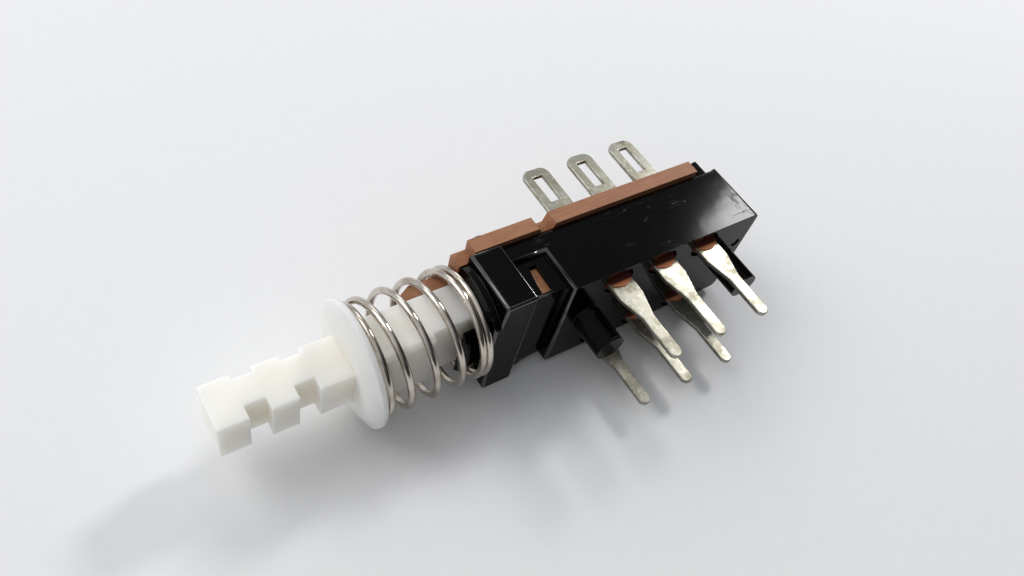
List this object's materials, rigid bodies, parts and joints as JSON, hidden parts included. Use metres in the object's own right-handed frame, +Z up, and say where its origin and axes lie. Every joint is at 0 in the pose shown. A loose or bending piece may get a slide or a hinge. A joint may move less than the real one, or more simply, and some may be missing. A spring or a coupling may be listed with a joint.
{
  "type": "pushbutton switch",
  "caption": "Changeover push switch with a sprung plunger in a moulded housing, flat pins for a circuit board on one side and slotted solder lugs on the other.",
  "frame": {"origin": "middle of the object's box, on the side of the housing's head and lug board that it lies on", "axes": "+X along the plunger, from the button end to the housing's rear; -Y the way the circuit-board pins point, +Y the way the solder lugs point; +Z up as it lies, from pole b to pole a"},
  "size_m": [0.0398, 0.0176, 0.0097],
  "materials": {
    "black_plastic": "moulded, gloss with light handling marks",
    "phenolic": "pressed phenolic sheet, sheared edges",
    "white_plastic": "moulded nylon, satin, slightly translucent",
    "tinned_metal": "tinned sheet, stamped",
    "spring_wire": "drawn wire, bright nickel",
    "bronze": "rolled strip with silver contacts"
  },
  "bodies": {
    "case": {"housing": "black_plastic", "lug_board": "phenolic", "pin_board": "phenolic", "keeper_plate": "phenolic", "terminal_a1": "tinned_metal", "terminal_a2": "tinned_metal", "terminal_a3": "tinned_metal", "terminal_b1": "tinned_metal", "terminal_b2": "tinned_metal", "terminal_b3": "tinned_metal", "return_spring": "spring_wire"},
    "button": {"plunger": "white_plastic", "contact_bridge_a": "bronze", "contact_bridge_b": "bronze", "contact_spring_a": "spring_wire", "contact_spring_b": "spring_wire"}
  },
  "joints": [
    {"name": "press", "type": "slide", "parent": "case", "child": "button", "axis": [1, 0, 0], "range_m": [0, 0.004], "stiffness_N_per_m": 375, "springref_m": -0.003, "deforming": ["return_spring"]}
  ]
}
